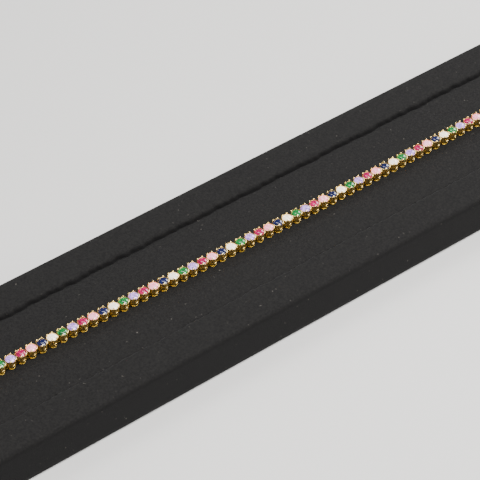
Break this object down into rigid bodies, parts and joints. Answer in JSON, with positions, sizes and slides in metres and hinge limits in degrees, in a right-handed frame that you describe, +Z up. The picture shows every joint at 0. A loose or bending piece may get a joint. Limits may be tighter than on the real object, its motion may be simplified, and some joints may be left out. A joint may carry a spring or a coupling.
{
  "type": "tennis bracelet in a display tray",
  "caption": "Gold tennis bracelet of round stones in a repeating row of colours, laid out undone along a black flocked display tray.",
  "frame": {"origin": "centre of the tray's flat underside", "axes": "+X along the tray and the row of links, +Y across the tray to its far rim, +Z up through the stones"},
  "size_m": [0.226, 0.052, 0.0141],
  "materials": {
    "gold": "polished gold plating",
    "black_flock": "matte short flock",
    "green_stone": "faceted, polished",
    "lavender_stone": "faceted, polished",
    "ruby_stone": "faceted, polished",
    "pink_stone": "faceted, polished",
    "blue_stone": "faceted, polished",
    "white_stone": "faceted, polished"
  },
  "bodies": {
    "root": {"display_tray": "black_flock", "links_left": "gold", "links_right": "gold", "clasp_box": "gold", "clasp_tongue": "gold"}
  },
  "joints": []
}
